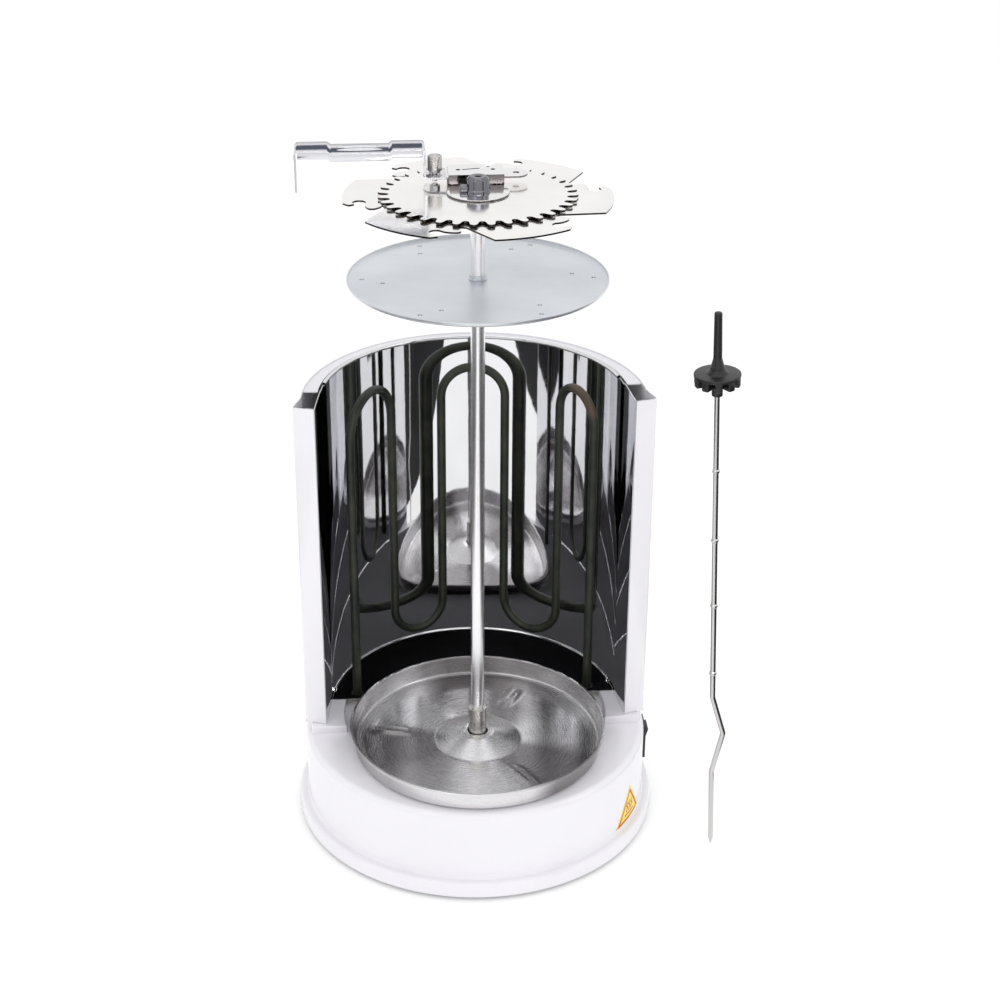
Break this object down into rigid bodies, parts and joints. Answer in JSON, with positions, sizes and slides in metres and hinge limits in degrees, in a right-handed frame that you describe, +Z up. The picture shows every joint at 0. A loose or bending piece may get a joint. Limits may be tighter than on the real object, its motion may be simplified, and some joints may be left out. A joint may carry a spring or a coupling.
{
  "type": "rotisserie oven",
  "caption": "Upright rotisserie grill with a round base, curved heat shield, serpentine element, drip tray and a lift-out carousel on a rod.",
  "frame": {"origin": "centre of the round base, on the surface that it stands on", "axes": "+Z up; the open front of the shield faces -Y; the switch is on the +X side"},
  "size_m": [0.3237, 0.2805, 0.5376],
  "materials": {
    "white_enamel": "gloss white enamel",
    "mirror_steel": "mirror polished stainless",
    "brushed_steel": "brushed stainless",
    "polished_sheet": "polished stainless sheet",
    "chrome": "bright chrome",
    "aluminium": "satin aluminium",
    "element_oxide": "olive black oxide",
    "black_plastic": "black moulded plastic",
    "black_rubber": "matt rubber",
    "ceramic": "glazed ceramic",
    "zinc_steel": "zinc plated",
    "terminal_plastic": "natural plastic",
    "sticker_yellow": "printed film",
    "turned_steel": "turned"
  },
  "bodies": {
    "base": {"base_housing": "white_enamel", "base_cover": "zinc_steel", "rubber_feet": "black_rubber", "cover_screws": "zinc_steel", "gear_motor": "zinc_steel", "motor_screws": "zinc_steel", "socket_bush": "black_plastic", "terminal_block": "terminal_plastic", "thermal_cutout": "ceramic", "switch_frame": "black_plastic", "cord_inlet": "black_plastic", "heat_sticker": "sticker_yellow", "outer_shell": "white_enamel", "inner_reflector": "mirror_steel", "left_channel": "mirror_steel", "right_channel": "mirror_steel", "shield_brackets": "zinc_steel", "shield_screws": "zinc_steel", "heating_element": "element_oxide", "heater_insulators": "ceramic", "heater_terminals": "zinc_steel"},
    "drive": {"drive_socket": "turned_steel"},
    "tray": {"drip_tray": "brushed_steel"},
    "spindle": {"center_rod": "chrome", "petal_disc": "polished_sheet", "spacer_washer": "zinc_steel", "hub_washer": "polished_sheet", "hub": "chrome", "hub_set_screw": "zinc_steel"},
    "sun_gear": {"toothed_disc": "polished_sheet", "hat_bracket": "chrome", "bracket_rivets": "zinc_steel", "tab_nut": "zinc_steel"},
    "plate": {"skewer_plate": "aluminium", "plate_collar": "aluminium"},
    "bracket": {"support_bracket": "chrome"},
    "thumb": {"thumb_screw": "turned_steel"},
    "rocker": {"switch_rocker": "black_plastic"},
    "skewer": {"skewer_rod": "chrome", "skewer_gear": "black_plastic"}
  },
  "joints": [
    {"name": "drive_turn", "type": "hinge", "parent": "base", "child": "drive", "pos_m": [0, -0.032, 0.09], "axis": [0, 0, 1], "continuous": true},
    {"name": "tray_lift", "type": "slide", "parent": "base", "child": "tray", "axis": [0, 0, 1], "range_m": [0, 0.06]},
    {"name": "spindle_lift", "type": "slide", "parent": "drive", "child": "spindle", "axis": [0, 0, 1], "range_m": [0, 0.12]},
    {"name": "sun_gear_turn", "type": "hinge", "parent": "spindle", "child": "sun_gear", "pos_m": [0, -0.032, 0.5105], "axis": [0, 0, 1], "continuous": true},
    {"name": "plate_slide", "type": "slide", "parent": "spindle", "child": "plate", "axis": [0, 0, 1], "range_m": [-0.33, 0]},
    {"name": "bracket_lift", "type": "slide", "parent": "sun_gear", "child": "bracket", "axis": [0, 0, 1], "range_m": [0, 0.04]},
    {"name": "thumb_turn", "type": "hinge", "parent": "bracket", "child": "thumb", "pos_m": [-0.028, -0.005, 0.52], "axis": [0, 0, 1], "continuous": true},
    {"name": "switch_rock", "type": "hinge", "parent": "base", "child": "rocker", "pos_m": [0.1295, 0, 0.049], "axis": [0, -1, 0], "range_deg": [0, 20]},
    {"name": "skewer_lift", "type": "slide", "parent": "base", "child": "skewer", "axis": [-0.0414, 0, 0.9991], "range_m": [0, 0.1]}
  ]
}
